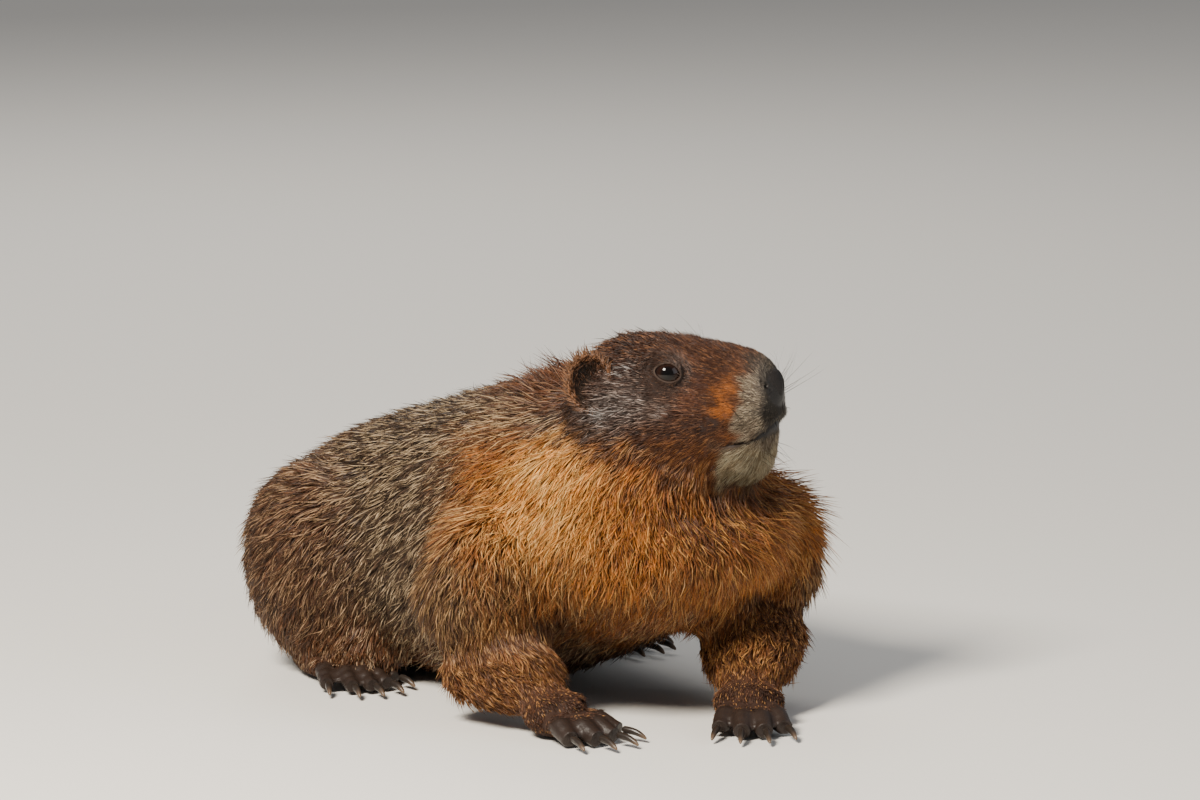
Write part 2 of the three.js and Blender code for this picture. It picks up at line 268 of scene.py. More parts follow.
# The head and paws are cut finer, the muzzle and toes finer still
claws = [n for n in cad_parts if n.startswith("claw")]


def claw_line(node):
    """Where a claw leaves its toe, its point, and the level way that it faces."""
    corners = np.array([v.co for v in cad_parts[node].data.vertices]) / MM
    paw = node[:-2].replace("claw_fore", "forefoot").replace("claw_hind", "hindfoot")
    away = size_of((corners - middle_of(paw))[:, :2])
    root_end = corners[away < np.quantile(away, 0.3)].mean(axis=0)
    point = corners[np.argmax(away)]
    return root_end, point, unit((point - root_end) * [1, 1, 0])


TOE_BALLS = [  # share of the toe from its tip, radius and height of each round swelling
    (0.0, 3.5, 4.2),
    (0.14, 3.9, 4.8),
    (0.3, 4.4, 6.2),
    (0.46, 4.8, 7.6),
    (0.62, 4.5, 8.0),
    (0.8, 4.6, 8.3),
    (1.0, 4.8, 8.6),
]
FORE_TOE, HIND_TOE = 23.0, 32.0  # lengths
HIND_SLIM = 0.86
toe_balls = []
for node in claws:
    root_end, point, level = claw_line(node)
    is_fore = "fore" in node
    for place, radius, height in TOE_BALLS:
        spot = root_end - level * (1 + place * (FORE_TOE if is_fore else HIND_TOE))
        slim = 1 if is_fore else HIND_SLIM
        toe_balls.append([spot[0], spot[1], height, radius * slim, place])
toe_balls = np.array(toe_balls)
TOE_BLEND = 0.7


def off_toes(where):
    """How far points are outside the joined toes, the way out, and the place on the toe."""
    away = where[:, None] - toe_balls[None, :, :3]
    reach = size_of(away)
    outside = reach - toe_balls[:, 3]
    nearest = outside.min(axis=1, keepdims=True)
    weight = np.exp(-(outside - nearest) / TOE_BLEND)
    total = weight.sum(axis=1, keepdims=True)
    gap = nearest[:, 0] - TOE_BLEND * np.log(total[:, 0])
    way_out = unit(np.einsum("nk,nkd->nd", weight / total, away / reach[:, :, None]))
    return gap, way_out, (weight * toe_balls[:, 4]).sum(axis=1) / total[:, 0]


for fine in ("head and paws", "muzzle and toes"):
    on_paw = on_parts("forefoot", "hindfoot")
    if fine == "head and paws":
        chosen = (on_head > 0.5) & (forward > -8) | (on_paw > 0.5)
    else:
        chosen = (on_head > 0.5) & (forward > 58)
        near = np.flatnonzero(on_paw > 0.5)
        chosen[near] |= off_toes(points[near])[0] < 3
    cutter = bmesh.new()
    cutter.from_mesh(made)
    cutter.verts.ensure_lookup_table()
    edges = [e for e in cutter.edges if chosen[e.verts[0].index] and chosen[e.verts[1].index]]
    bmesh.ops.subdivide_edges(cutter, edges=edges, cuts=1, use_grid_fill=True)
    cutter.to_mesh(made)
    cutter.free()
    old = len(points)
    points, links, degree = read(made)
    known = np.arange(len(points)) < old
    filled = np.zeros((len(points), share.shape[1]))
    filled[:old] = share
    while not known.all():
        count = np.bincount(links[:, 0], known[links[:, 1]], len(points))
        count += np.bincount(links[:, 1], known[links[:, 0]], len(points))
        reach = ~known & (count > 0)
        total = neighbour_mean(filled * known[:, None], links, degree) * degree[:, None]
        filled[reach] = total[reach] / count[reach, None]
        known |= reach
    share = filled
    on_head = on_parts("head", "lower_jaw")
    forward, side, rise = in_head(points)
    region = on_head * ramp(forward, -8, -4) + on_parts("forefoot", "hindfoot")
    for _ in range(4):
        points = eased(points, 0.5 * np.clip(region, 0, 1))
    write(made, points)

near = np.flatnonzero(on_parts("forefoot", "hindfoot") > 0.3)
for _ in range(8):
    gap, way_out, place = off_toes(points[near])
    pull = 0.55 * ramp(place, 0.98, 0.7) * ramp(np.abs(gap), 5.5, 3.5)
    points[near] -= way_out * (gap * pull)[:, None]
points[:, 2] = np.maximum(points[:, 2], FLOOR_GAP)
toe_share = np.zeros(len(points))
toe_share[near] = ramp(place, 1.0, 0.7) * ramp(np.abs(gap), 4, 2)
for _ in range(2):
    points = eased(points, 0.35 * toe_share)
write(made, points)

# Folds of the face: each swelling or hollow has a place on the head, a reach along each
# of its directions and a height
MOUTH = np.array(  # the line where the lips meet, forward and up, from below the nose
    [[83.0, -15.5], [79.5, -18.0], [76.0, -21.0], [71.5, -23.6], [66.5, -25.0], [60.5, -26.2]]
)


def off_mouth_line(forward, rise):
    """How far along the mouth a place is, from 0 to 1, and how far above the line."""
    best, along_best, off_best = np.full(len(forward), 1e9), np.zeros(len(forward)), 0
    place = np.stack([forward, rise], axis=1)
    for k in range(len(MOUTH) - 1):
        run = MOUTH[k + 1] - MOUTH[k]
        from_start = place - MOUTH[k]
        low = -2 if k == 0 else 0
        high = 2 if k == len(MOUTH) - 2 else 1
        t = np.clip(from_start @ run / (run @ run), low, high)
        gap = size_of(from_start - t[:, None] * run)
        sign = np.sign(from_start[:, 0] * run[1] - from_start[:, 1] * run[0])
        nearer = gap < best
        best = np.where(nearer, gap, best)
        along_best = np.where(nearer, (k + t) / (len(MOUTH) - 1), along_best)
        off_best = np.where(nearer, gap * sign, off_best)
    return along_best, off_best


FOLDS = [
    ((38, 25, 15), (13, 8, 6), 0.8),  # brow
    ((48, 21, 3), (6, 6, 6), -1.3),  # hollow before the eye
    ((33, 33, -8), (10, 8, 6), 0.9),  # cheekbone
    ((16, 38, -26), (15, 8, 13), 2.0),  # cheek
    ((55, 22, -14), (5, 8, 10), -1.1),  # groove behind the whisker pad
    ((71, 17, -14), (7, 8, 8), 1.8),  # whisker pad
    ((72, 0, -36), (8, 10, 8), 1.4),  # chin
    ((62, 18, -33), (7, 8, 7), 0.8),  # side of the lower lip
    ((60, 12, 12), (9, 5, 5), 0.5),  # edge of the nose bridge
    ((51, 20, 11), (2.5, 5, 4), -1.0),  # crease before the brow
]
forward, side, rise = in_head(points)
aside = np.abs(side)
facing = facing_of(made, links, degree, 2)
swell = np.zeros(len(points))
for (f, s, r), (wide_f, wide_s, wide_r), height in FOLDS:
    swell += height * hill(forward, f, wide_f) * hill(aside, s, wide_s) * hill(rise, r, wide_r)
along_lip, off_lip = off_mouth_line(forward, rise)
at_mouth = ramp(along_lip, 1.1, 0.75) * ramp(forward, 54, 58) * on_head
swell -= 2.4 * np.exp(-((off_lip / (0.8 + 0.8 * ramp(along_lip, 0.6, 0.1))) ** 2)) * at_mouth
swell += 0.8 * hill(off_lip, 2.4, 1.6) * at_mouth
swell -= 0.9 * ramp(off_lip, -0.4, -2.2) * hill(off_lip, -2, 5) * at_mouth
cleft = hill(side, 0, 0.7) * ramp(forward, 74, 78) * ramp(rise, -7, -11) * ramp(rise, -21, -18)
swell -= 0.9 * cleft
NOSTRIL = [  # places on the head, reach and depth of the hollows that make a nostril
    ((81.5, 8.0, -2.8), 2.0, 2.2),
    ((79.6, 10.0, -1.4), 2.2, 2.8),
    ((77.6, 11.6, 0.4), 2.0, 2.6),
    ((75.8, 12.6, 2.4), 1.6, 1.6),
]


def nostril_dent(forward, aside, rise):
    dent = np.zeros(len(forward))
    for (f, s, r), wide, deep in NOSTRIL:
        off = np.sqrt((forward - f) ** 2 + (aside - s) ** 2 + (rise - r) ** 2)
        dent = np.maximum(dent, deep * ramp(off, wide, wide * 0.35))
    return dent


swell -= nostril_dent(forward, aside, rise)
points += facing * (swell * on_head)[:, None]
write(made, points)

# Lids: an almond opening over each eye, with a thick rim that slopes down to the face
LID_STEPS = 44
OPEN_HALF, OPEN_UP, OPEN_DOWN = 5.6, 4.2, 3.5
LID_RINGS = [  # share of the opening, and height above the eyeball
    (0.95, -0.5),
    (0.99, 0.12),
    (1.03, 0.4),
    (1.08, 0.6),
    (1.17, 0.7),
    (1.32, 0.7),
    (1.55, 0.6),
    (1.85, 0.6),
    (2.2, 0.6),
]
LOOK_AHEAD, LOOK_OUT, LOOK_UP = 0.3, 0.93, 0.16
RAY_FROM = 15  # ahead of the eye's middle, where a ray starts that finds the skin


def gaze_of(sign):
    return unit(LOOK_AHEAD * FORWARD + sign * LOOK_OUT * SIDE + LOOK_UP * UP)


made_faces = [tuple(p.vertices) for p in made.polygons]
surface = BVHTree.FromPolygons([Vector(p) for p in points * MM], made_faces)
lid_points, lid_faces, lid_ring = [], [], []
hidden = np.zeros(len(points), bool)
for sign, eye in ((1, left_eye), (-1, right_eye)):
    axis = gaze_of(sign)
    nose_way = FORWARD - 0.16 * UP
    nose_way = unit(nose_way - axis * (nose_way @ axis))
    brow_way = np.cross(axis, nose_way) * sign
    brow_way *= np.sign(brow_way[2])
    start = len(lid_points)
    turns = 2 * math.pi * np.arange(LID_STEPS) / LID_STEPS
    for number, (scale, above) in enumerate(LID_RINGS):
        u = OPEN_HALF * np.cos(turns) * scale
        v = np.where(np.sin(turns) > 0, OPEN_UP, OPEN_DOWN) * np.sin(turns)
        v = v * (scale + 0.35 * (scale - 1)) * (1 - 0.12 * np.cos(turns) ** 2)
        off = np.hypot(u, v)
        ball = np.sqrt(np.maximum((EYE_RADIUS + above) ** 2 - off**2, 0.01))
        for a, b, high in zip(u, v, ball):
            spot = eye + nose_way * a + brow_way * b
            origin = Vector((spot + axis * RAY_FROM) * MM)
            found = surface.ray_cast(origin, Vector(-axis))
            skin_high = RAY_FROM - found[3] / MM if found[0] is not None else -4.0
            if number >= 3:
                edge = 0.7
                high = edge * math.log(math.exp(high / edge) + math.exp(skin_high / edge))
            if number == len(LID_RINGS) - 1:
                high = skin_high - 0.7
            lid_points.append(spot + axis * high)
            lid_ring.append(number)
    for ring in range(len(LID_RINGS) - 1):
        for k in range(LID_STEPS):
            near, far = start + ring * LID_STEPS, start + (ring + 1) * LID_STEPS
            corners = (near + k, near + (k + 1) % LID_STEPS, far + (k + 1) % LID_STEPS, far + k)
            lid_faces.append(corners if sign > 0 else corners[::-1])
    away = points - eye
    off = np.hypot((away @ nose_way) / 1.25, away @ brow_way)
    near_eye = (away @ axis > -6) & (off < 9)
    points -= axis * (3.0 * ramp(off, 8.0, 5.5) * near_eye)[:, None]
    hidden |= near_eye & (off < 6.2)

# Ears: round, thin bowls that open forwards and outwards, with a rolled rim
EAR_HALF, EAR_TALL, EAR_DISH = 9.8, 12.0, 4.6
EAR_OUT = 31
EAR_RISE = {1: -3.0, -1: 0.3}  # the left ear is held lower
EAR_TURN, EAR_LEAN = math.radians(62), math.radians(10)
EAR_STEPS, EAR_RINGS = 36, 9
ear_points, ear_faces, ear_inside, ear_reach = [], [], [], []
for sign in (1, -1):
    turn = EAR_TURN * sign
    out = math.sin(turn) * SIDE + math.cos(turn) * FORWARD
    wide = math.cos(turn) * SIDE - math.sin(turn) * FORWARD
    tall = math.cos(EAR_LEAN) * UP - math.sin(EAR_LEAN) * out
    out = math.cos(EAR_LEAN) * out + math.sin(EAR_LEAN) * UP
    base = BETWEEN_EARS + sign * EAR_OUT * SIDE + FORWARD + EAR_RISE[sign] * UP
    start = len(ear_points)
    for layer in (0, 1):
        for ring in range(EAR_RINGS + 1):
            r = ring / EAR_RINGS
            for k in range(EAR_STEPS):
                t = 2 * math.pi * k / EAR_STEPS
                x, z = r * math.cos(t), r * math.sin(t)
                thick = 1.5 * math.sqrt(max(1 - r**2, 0)) + 0.5 * hill(r, 0.88, 0.1)
                dish = -EAR_DISH * (1 - r**2) + 1.0 * hill(r, 0.9, 0.12)
                y = dish - (thick if layer == 0 else -0.35 * thick)
                ear_points.append(
                    base + wide * x * EAR_HALF + tall * z * EAR_TALL + out * y
                )
                ear_inside.append(layer * (1 - ramp(r, 0.7, 1)))
                ear_reach.append(r)
    for layer in (0, 1):
        for ring in range(EAR_RINGS):
            for k in range(EAR_STEPS):
                near = start + (layer * (EAR_RINGS + 1) + ring) * EAR_STEPS
                far = near + EAR_STEPS
                n = (k + 1) % EAR_STEPS
                corners = (near + k, far + k, far + n, near + n)
                ear_faces.append(corners if (layer == 1) == (sign > 0) else corners[::-1])

counts = [len(points), len(lid_points), len(ear_points)]
joined = np.concatenate([points, np.array(lid_points), np.array(ear_points)])
faces = made_faces + [tuple(i + counts[0] for i in f) for f in lid_faces]
faces += [tuple(i + counts[0] + counts[1] for i in f) for f in ear_faces]
mesh = bpy.data.meshes.new("skin")
mesh.from_pydata([tuple(p) for p in joined * MM], [], faces)
mesh.update()
extra = np.zeros((counts[1] + counts[2], share.shape[1]))
extra[:, flesh.index("head")] = 1
share = np.concatenate([share, extra])


def over_all(on_skin, on_lids, on_ears):
    """A value for every point of the skin, then of the lids, then of the ears."""
    values = zip(counts, (on_skin, on_lids, on_ears))
    return np.concatenate([np.full(count, value, float) for count, value in values])


FAR_RING = 99  # stands for points that aren't on a lid
is_lid = over_all(0, 1, 0)
lid_edge = over_all(FAR_RING, lid_ring, FAR_RING)
is_ear = over_all(0, 0, 1)
in_ear = over_all(0, 0, ear_inside)
ear_out = over_all(0, 0, ear_reach)
hidden = over_all(hidden, 0, 0) > 0
bpy.data.meshes.remove(made)
points, links, degree = read(mesh)
facing = facing_of(mesh, links, degree)

# Markings: where each colour of the coat lies, shared by the skin and the fur on it.
# Their borders are ragged, as hairs of one colour reach over the next.
forward, side, rise = in_head(points)
aside = np.abs(side)
x, y, z = points.T
on_head = on_parts("head", "lower_jaw")
on_foreleg = on_parts("upper_arm", "forearm", "forefoot")
on_forearm = on_parts("forearm", "forefoot")
on_paw = on_parts("forefoot", "hindfoot")
on_rump = np.maximum(on_parts("thigh", "shank"), ramp(y, 45, 95))
on_tail = on_parts("tail")
toe_gap, _, toe_place = off_toes(points)
is_toe = np.clip(on_paw * 1.6, 0, 1) * ramp(toe_gap, 3, 1.5) * ramp(toe_place, 0.74, 0.5)
along_lip, off_lip = off_mouth_line(forward, rise)
at_mouth = ramp(along_lip, 1.1, 0.85) * ramp(forward, 54, 58) * on_head
is_lip = np.exp(-(((off_lip + 0.3) / (1.0 + 1.4 * ramp(along_lip, 0.55, 0.1))) ** 2)) * at_mouth

THROAT = BETWEEN_EARS + 20 * FORWARD - 25 * UP
BARE_BLACK = (0.012, 0.0095, 0.0085)  # of the nose
LID_RIM, LID_PALE = np.array([0.03, 0.018, 0.014]), np.array([0.1, 0.065, 0.045])


def paint(first, body, head, last=()):
    """Colours laid one over the next, each with its strength at every point."""
    colour = np.tile(np.array(first), (len(points), 1))
    within = [1.0] * len(body) + [head_soft] * len(head) + [1.0] * len(last)
    for (tint, strength), part in zip([*body, *head, *last], within):
        colour = mix(colour, np.array(tint), (strength * part)[:, None])
    return colour


to_throat = size_of(points - THROAT)
ragged = np.stack([ripple(points, 9.0, seed) for seed in (21, 22)], axis=1)
broad = ripple(points, 34.0, 23)
fwd_place, up_place = forward + 1.3 * ragged[:, 0], rise + 1.3 * ragged[:, 1]
head_soft = on_head[:, None]
for _ in range(26):
    head_soft = neighbour_mean(head_soft, links, degree)
head_soft = ramp(head_soft[:, 0] + 0.11 * ragged[:, 0] + 0.05 * broad, 0.28, 0.8)
head_soft = np.maximum(head_soft, is_ear)
off_head = 1 - head_soft
wavy = 7 * broad + 5 * ragged[:, 1]
open_side = ramp(aside, 26, 36) * ramp(rise, 5, -8) * ramp(forward + wavy, -62, -18)
open_side = np.maximum(open_side, ramp(rise, -16, -36))
behind = np.maximum(y - THROAT[1], 0)
to_throat = np.sqrt(to_throat**2 + (0.85 * behind) ** 2)
chest = ramp(to_throat + wavy, 126, 58) * open_side * off_head
gold = hill(forward + 4 * broad, -14, 24) * ramp(aside, 16, 30) * ramp(rise, -88, -50) * off_head
gold *= np.maximum(open_side, ramp(rise + 4 * ragged[:, 0], 4, -12))
gold *= ramp(to_throat + 4 * broad, 104, 76)
# Under the chin: the throat's own darker chestnut colour, with the head's shadow on the upper
# chest painted into it
throat_tone_and_shadow = hill(forward, 46, 28) * hill(rise, -58, 18) * ramp(aside, 48, 30) * off_head
flecked = ramp(ragged[:, 1] + 0.6 * ripple(points, 4.0, 24), -1.2, 0.8)


SPINE_BOW, SPINE_MIDDLE, SPINE_LENGTH = 9, 9, 299


def off_spine(points):
    """How far to the left of the bowed middle of the back a point is."""
    away = points - UNDER_BODY
    return away[:, 0] - SPINE_BOW * np.cos(math.pi * (away[:, 1] - SPINE_MIDDLE) / SPINE_LENGTH)


from_middle = np.abs(off_spine(points))
nape = ramp(rise, -28, -12) * ramp(y, 6, -42) * ramp(from_middle + 3 * ragged[:, 1], 42, 22)
nape *= off_head
is_left = x > -10
ruff = is_left * ramp(y, -70, -100) * ramp(z, 66, 88) * ramp(z, 142, 124) * off_head
low = ramp(z, 46, 14)
by_eye = off_eyes(points)
patch_at = 61.5 + 0.018 * (rise + 7) ** 2
orange_patch = hill(fwd_place, patch_at, 4.6) * hill(up_place, -7, 12) * ramp(aside, 10, 15)
muzzle = ramp(fwd_place, 65.5, 69.5) * ramp(up_place, 8, 2)
muzzle = np.maximum(muzzle, ramp(fwd_place, 56, 61) * ramp(up_place, -22, -27))
chin = ramp(up_place, -24, -30) * ramp(up_place, -49, -41) * muzzle
muzzle *= ramp(up_place, -49, -41)
by_nose = size_of(points - middle_of("nose"))
snout = np.maximum(ramp(by_nose, 17, 11) * ramp(rise, -22, -12), ramp(fwd_place, 74, 80))
snout *= ramp(up_place, -24, -17)
off_pad = np.sqrt(((forward - 80) / 8.5) ** 2 + (aside / 13.5) ** 2 + ((rise + 2) / 9.5) ** 2)
bare_nose = ramp(off_pad, 1.02, 0.84) * ramp(rise, 7, 3) * on_head
# The nostril hollows, later painted darker than the black nose as painted shade inside the
# openings
nostril = ramp(nostril_dent(forward, aside, rise), 0.2, 1.2) * on_head
bridge = ramp(fwd_place, 66, 74) * ramp(rise, 3, 8)
cheek = 0.5 * hill(fwd_place, 20, 16) * hill(up_place, -7, 9)
cheek = np.maximum(cheek, 0.95 * hill(fwd_place, 12, 9) * hill(up_place, -12, 6.5))
cheek = np.maximum(cheek, 0.8 * hill(fwd_place, 37, 3.5) * hill(up_place, -10, 2.0))
cheek *= ramp(aside, 20, 29)
temple = hill(fwd_place, 16, 9) * hill(up_place, 8, 6) * ramp(aside, 16, 25)
low_cheek = ramp(up_place, -18, -30) * (1 - muzzle)
around_eye = ramp(by_eye, 15, 8)
blaze = hill(fwd_place, 46, 9) * hill(up_place, -2, 13)
ear_rim = is_ear * ramp(ear_out, 0.8, 0.95)
low_front = low * ramp(y, 90, 20) * 0.7
worn_forearm = on_forearm * (1 - chest * 0.5)
patch_hairs = orange_patch * (0.45 + 0.5 * flecked)
muzzle_hairs = muzzle * (0.7 + 0.3 * flecked)
under_tint = paint(
    (0.02, 0.0105, 0.006),
    [
        ((0.034, 0.014, 0.007), on_rump * 0.8),
        ((0.05, 0.019, 0.007), on_foreleg * 0.4),
        ((0.06, 0.02, 0.006), low_front),
        ((0.11, 0.03, 0.005), chest),
        ((0.3, 0.1, 0.015), gold),
        ((0.032, 0.012, 0.006), nape),
        ((0.055, 0.018, 0.006), worn_forearm),
        # darker under the chin: the throat's colour with the head's painted shadow
        ((0.028, 0.009, 0.004), throat_tone_and_shadow * 0.9),
        ((0.04, 0.016, 0.008), on_tail),
        ((0.026, 0.011, 0.006), on_paw),
        ((0.012, 0.005, 0.0032), head_soft),
    ],
    [
        ((0.028, 0.009, 0.004), blaze),
        ((0.045, 0.033, 0.028), cheek * 0.7),
        ((0.028, 0.009, 0.004), low_cheek),
        ((0.014, 0.007, 0.005), around_eye),
        ((0.11, 0.03, 0.006), patch_hairs),
        ((0.055, 0.042, 0.03), muzzle_hairs),
        ((0.018, 0.014, 0.011), np.maximum(snout, bridge * 0.8)),
        ((0.08, 0.06, 0.036), chin),
    ],
    [
        ((0.025, 0.01, 0.005), is_ear),
        ((0.05, 0.02, 0.008), ear_rim),
        ((0.012, 0.008, 0.006), in_ear * 0.85),
        ((0.02, 0.0155, 0.0135), is_toe),
        (BARE_BLACK, bare_nose),
        # Near black along the mouth line and in the nostrils: the dark lip edge, with painted
        # shade of the gap between the lips and of the nostril openings
        ((0.006, 0.004, 0.004), np.clip(is_lip * 1.3 + nostril, 0, 1)),
    ],
)
tip_tint = paint(
    (0.082, 0.046, 0.025),
    [
        ((0.12, 0.05, 0.022), on_rump * 0.85),
        ((0.2, 0.085, 0.026), on_foreleg * 0.45),
        ((0.2, 0.075, 0.02), low_front),
        ((0.44, 0.145, 0.02), chest),
        ((0.8, 0.36, 0.07), gold),
        ((0.14, 0.05, 0.02), nape),
        ((0.21, 0.078, 0.022), worn_forearm),
        # darker under the chin: the throat's colour with the head's painted shadow
        ((0.16, 0.052, 0.014), throat_tone_and_shadow * 0.9),
        ((0.13, 0.05, 0.02), on_tail),
        ((0.08, 0.03, 0.013), on_paw),
        ((0.05, 0.019, 0.0095), head_soft),
    ],
    [
        ((0.09, 0.03, 0.012), blaze),
        ((0.15, 0.122, 0.11), cheek * 0.85),
        ((0.15, 0.05, 0.013), low_cheek),
        ((0.04, 0.017, 0.009), around_eye),
        ((0.5, 0.16, 0.028), patch_hairs),
        ((0.15, 0.115, 0.08), muzzle_hairs),
        ((0.055, 0.045, 0.034), np.maximum(snout, bridge * 0.7)),
        ((0.26, 0.2, 0.12), chin),
    ],
    [
        ((0.09, 0.036, 0.016), is_ear),
        ((0.17, 0.07, 0.024), ear_rim),
        ((0.2, 0.095, 0.034), in_ear),
    ],
)
pale_tint = paint(
    (0.7, 0.51, 0.31),
    [
        ((0.46, 0.26, 0.13), on_rump * 0.8),
        ((0.6, 0.36, 0.16), on_foreleg),
        ((0.62, 0.3, 0.1), on_forearm),
        ((0.72, 0.34, 0.08), chest),
        ((0.98, 0.6, 0.2), gold),
        ((0.34, 0.17, 0.08), nape),
        ((0.26, 0.11, 0.045), head_soft),
    ],
    [
        ((0.44, 0.4, 0.38), np.clip(cheek * 1.6 + temple, 0, 1)),
        ((0.42, 0.17, 0.05), low_cheek),
        ((0.46, 0.38, 0.27), muzzle),
        ((0.58, 0.52, 0.36), chin),
        ((0.2, 0.17, 0.13), snout),
    ],
)
lid_rim = is_lid * ramp(lid_edge, 3.2, 1.5)
pale_rim = is_lid * hill(lid_edge, 3.0, 0.7)
hide = mix(under_tint, tip_tint, 0.12)
hide = mix(hide, LID_RIM, lid_rim[:, None])
hide = mix(hide, LID_PALE, (0.5 * pale_rim)[:, None])
bare = np.clip(is_toe + is_lip + lid_rim + bare_nose, 0, 1)


def add_tint(data, colours, name="tint"):
    full = np.ones((len(colours), 4), np.float32)
    full[:, :3] = colours
    layer = data.attributes.new(name, "FLOAT_COLOR", "POINT")
    layer.data.foreach_set("color", full.ravel())


add_tint(mesh, hide, "hide")
attribute = mesh.attributes.new("bare", "FLOAT", "POINT")
attribute.data.foreach_set("value", bare.astype(np.float32))
mesh.polygons.foreach_set("use_smooth", [True] * len(mesh.polygons))
skin = placed("skin", mesh)


def principled(name, roughness, specular=0.5):
    """A new material, with its nodes, its links and its shader."""
    material = bpy.data.materials.new(name)
    material.use_nodes = True
    shader = material.node_tree.nodes["Principled BSDF"]
    shader.inputs["Roughness"].default_value = roughness
    shader.inputs["Specular IOR Level"].default_value = specular
    return material, material.node_tree.nodes, material.node_tree.links, shader


def add_node(nodes, kind, **values):
    node = nodes.new("ShaderNode" + kind)
    for key, value in values.items():
        if key in node.inputs:
            node.inputs[key].default_value = value
        else:
            setattr(node, key, value)
    return node


def texture(nodes, wires, kind, **values):
    """A texture that reads the place in the piece."""
    made = add_node(nodes, kind, **values)
    place = add_node(nodes, "TexCoord")
    wires.new(place.outputs["Object"], made.inputs["Vector"])
    return made


def spread(nodes, wires, value, low, high):
    """A value that runs from 0 to 1, made to run between two others."""
    made = add_node(nodes, "MapRange", **{"To Min": low, "To Max": high})
    wires.new(value, made.inputs["Value"])
    return made.outputs["Result"]


def pebble(nodes, wires, shader, scale, strength):
    """Small round cells as a bump, finer than the mesh can be."""
    cells = texture(nodes, wires, "TexVoronoi", Scale=scale)
    bump = add_node(nodes, "Bump", Strength=strength, Distance=0.0003)
    wires.new(cells.outputs["Distance"], bump.inputs["Height"])
    wires.new(bump.outputs["Normal"], shader.inputs["Normal"])


def read_tint(nodes, name="tint"):
    return add_node(nodes, "Attribute", attribute_name=name).outputs["Color"]


HAIRY, BARE = 0.85, 0.42  # roughness
skin_paint, nodes, wires, shader = principled("skin", HAIRY, 0.28)
is_bare = add_node(nodes, "Attribute", attribute_name="bare")
mottle = texture(nodes, wires, "TexNoise", Scale=240.0, Detail=4.0)
shade = add_node(nodes, "Mix", data_type="RGBA", blend_type="MULTIPLY")
shade.inputs[0].default_value = 0.5
wires.new(read_tint(nodes, "hide"), shade.inputs[6])
wires.new(mottle.outputs["Fac"], shade.inputs[7])
wires.new(shade.outputs[2], shader.inputs["Base Color"])
gloss = spread(nodes, wires, is_bare.outputs["Fac"], HAIRY, BARE)
wires.new(gloss, shader.inputs["Roughness"])
pebble(nodes, wires, shader, 1500.0, 0.35)
mesh.materials.append(skin_paint)
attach(skin, "root")
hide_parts(*flesh, "ear_left", "ear_right")

# Coat: grizzled guard hair over a dark underfur, in thin tapering locks that grow from
# the skin. They lie back from the nose over the head, fan down from the throat over the
# chest and shoulders, and run back and down along the body.
NOSE_TIP = BETWEEN_EARS + 90 * FORWARD - 8 * UP
way = unit(points - THROAT) - 0.5 * UP
way -= UP * (0.7 * ramp(y, 10, 90))[:, None]
nose_flow = unit(points - NOSE_TIP)
way = mix(way, nose_flow, head_soft[:, None])
for end in ("left", "right"):
    arm, fore, paw = (middle_of(f"{p}_{end}") for p in ("upper_arm", "forearm", "forefoot"))
    toes = np.mean([middle_of(n) for n in claws if f"fore_{end}" in n], axis=0)
    hind = middle_of(f"hindfoot_{end}")
    hind_toes = np.mean([middle_of(n) for n in claws if f"hind_{end}" in n], axis=0)
    flows = {
        f"upper_arm_{end}": unit(fore - arm) + [0, 0.3, -0.2],
        f"forearm_{end}": unit(paw - fore),
        f"forefoot_{end}": unit(toes - paw) - 0.5 * UP,
        f"thigh_{end}": np.array([0, 0.5, -0.85]),
        f"shank_{end}": np.array([0, 0.2, -0.9]),
        f"hindfoot_{end}": unit(hind_toes - hind) - 0.5 * UP,
    }
    for node, flow in flows.items():
        way = mix(way, flow, share[:, [flesh.index(node)]])
TAIL_LINE = UNDER_BODY + np.array(
    [(0, 128, 34), (14, 168, 24), (50, 190, 22), (92, 180, 20), (122, 150, 18)]
)
stretch = np.linspace(0, 1, 5)
fine = np.linspace(0, 1, 60)
tail_line = np.stack([np.interp(fine, stretch, TAIL_LINE[:, k]) for k in range(3)], axis=1)
nearest = np.argmin(size_of(points[:, None] - tail_line[None, :-1]), axis=1)
tail_flow = unit(np.diff(tail_line, axis=0))[nearest]
tail_place = fine[nearest]
way = mix(way, tail_flow, on_tail[:, None])
ear_spread = np.zeros_like(points)
for sign in (1, -1):
    foot = BETWEEN_EARS + sign * 29 * SIDE + 4 * FORWARD - 9 * UP
    this_ear = (is_ear > 0) & (np.sign(side) == sign)
    ear_spread[this_ear] = unit(points[this_ear] - foot)
way = mix(way, ear_spread, is_ear[:, None])
flat_facing = unit(facing)
for _ in range(30):
    way -= flat_facing * (way * flat_facing).sum(axis=1, keepdims=True)
    way = unit(way)
    way = unit(mix(way, neighbour_mean(way, links, degree), 0.6))

FUR = {  # length, lift in degrees, thickness and locks to a square millimetre
    "trunk": (11.5, 19, 0.55, 1.04),
    "neck": (14, 21, 0.58, 1.12),
    "head": (6.5, 17, 0.48, 2.0),
    "lower_jaw": (5, 18, 0.45, 3.1),
    "tail": (25, 22, 0.9, 0.95),
    "upper_arm": (13, 19, 0.6, 1.03),
    "forearm": (9.5, 18, 0.55, 1.16),
    "forefoot": (3.5, 10, 0.42, 2.1),
    "thigh": (12, 19, 0.6, 1.0),
    "shank": (10, 18, 0.58, 1.0),
    "hindfoot": (3.5, 10, 0.45, 1.7),
}
blended = np.stack([by_part(FUR, column) for column in range(4)], axis=1)
for _ in range(10):
    blended = mix(blended, neighbour_mean(blended, links, degree), 0.6)
length, lift, thickness, crowd = blended.T.copy()
head_length = 6.0 + 7 * ramp(forward, 24, -12) + 4 * ramp(rise, -28, -52)
head_length = mix(head_length, 3.9, ramp(forward, 34, 62))
